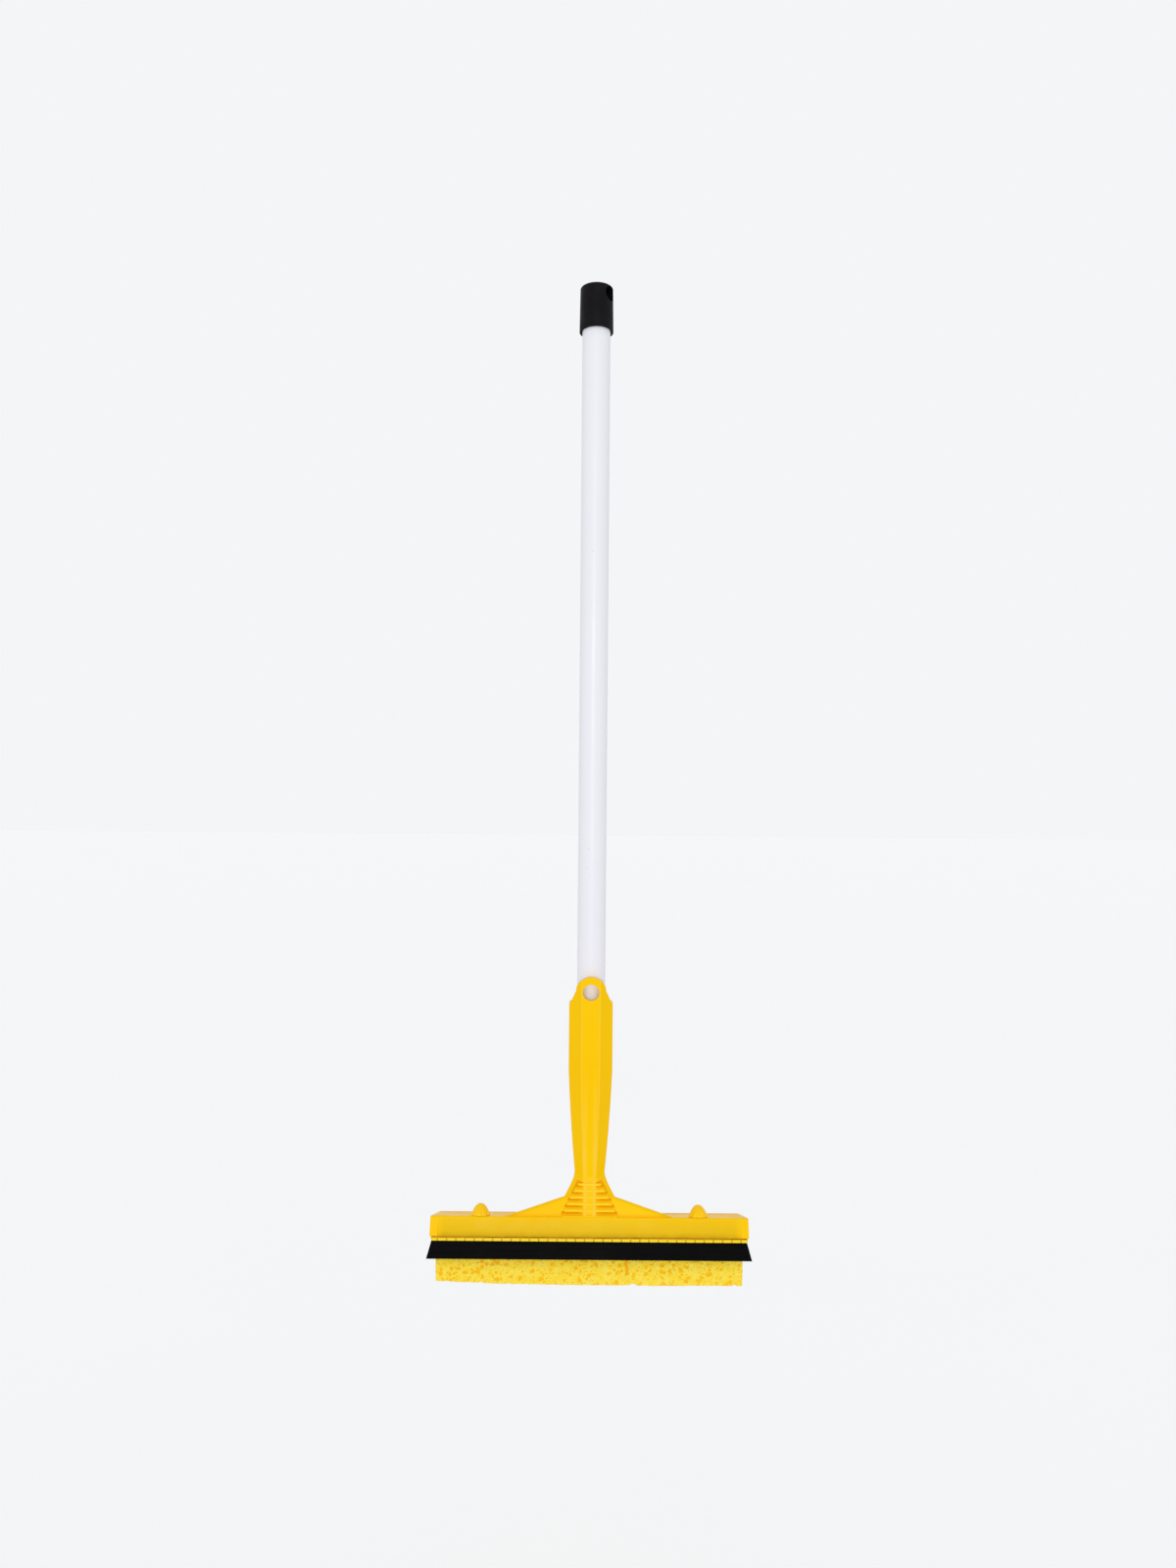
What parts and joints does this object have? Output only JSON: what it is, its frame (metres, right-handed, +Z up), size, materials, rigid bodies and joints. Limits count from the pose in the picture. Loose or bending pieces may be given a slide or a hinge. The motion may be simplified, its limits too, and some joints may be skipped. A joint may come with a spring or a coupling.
{
  "type": "window scrubber",
  "caption": "Long-handled window scrubber: pole with hang-up cap, ribbed grip and fan, tilted head with clamped rubber squeegee blade in front and a sponge block behind.",
  "frame": {"origin": "middle of the hang hole in the end cap, on the pole's axis", "axes": "+Z runs up the pole, the blade side of the head faces -Y, the head lies along X"},
  "size_m": [0.2482, 0.0495, 0.7805],
  "materials": {
    "cap_black": "satin, finely grained",
    "tube_steel": "drawn steel tube",
    "pole_white": "smooth white plastic skin",
    "plug_grey": "plain moulded",
    "grip_yellow": "smooth moulded yellow",
    "head_yellow": "smooth moulded yellow",
    "carrier_yellow": "smooth moulded yellow",
    "knob_yellow": "smooth moulded yellow",
    "plate_yellow": "plain moulded",
    "stud_steel": "zinc plated",
    "blade_rubber": "smooth black rubber",
    "sponge_yellow": "open porous cellulose sponge"
  },
  "bodies": {
    "pole": {"pole_tube": "tube_steel", "pole_sleeve": "pole_white", "pole_plug": "plug_grey", "end_cap": "cap_black"},
    "head": {"grip": "grip_yellow", "head_frame": "head_yellow"},
    "knob_left": {"knob_left": "knob_yellow"},
    "knob_right": {"knob_right": "knob_yellow"},
    "carrier": {"blade_carrier": "carrier_yellow", "stud_left": "stud_steel", "stud_right": "stud_steel"},
    "blade": {"rubber_blade": "blade_rubber"},
    "sponge": {"sponge_plate": "plate_yellow", "sponge": "sponge_yellow"}
  },
  "joints": [
    {"name": "pole_pull", "type": "slide", "parent": "pole", "child": "head", "axis": [0, 0, -1], "range_m": [0, 0.06]},
    {"name": "knob_left_turn", "type": "hinge", "parent": "head", "child": "knob_left", "pos_m": [-0.084, -0.01367, -0.71578], "axis": [0, 0.3256, 0.9455], "range_deg": [0, 1800]},
    {"name": "knob_right_turn", "type": "hinge", "parent": "head", "child": "knob_right", "pos_m": [0.084, -0.01367, -0.71578], "axis": [0, 0.3256, 0.9455], "range_deg": [0, 1800]},
    {"name": "carrier_drop", "type": "slide", "parent": "head", "child": "carrier", "axis": [0, -0.3256, -0.9455], "range_m": [0, 0.005]},
    {"name": "blade_slide", "type": "slide", "parent": "carrier", "child": "blade", "axis": [1, 0, 0], "range_m": [0, 0.25]},
    {"name": "sponge_pull", "type": "slide", "parent": "head", "child": "sponge", "axis": [0, -0.3256, -0.9455], "range_m": [0, 0.02]}
  ],
  "couplings": [
    {"joint": "knob_left_turn", "follows": "carrier_drop", "rad_per_m": 6283.2},
    {"joint": "knob_right_turn", "follows": "carrier_drop", "rad_per_m": 6283.2}
  ]
}
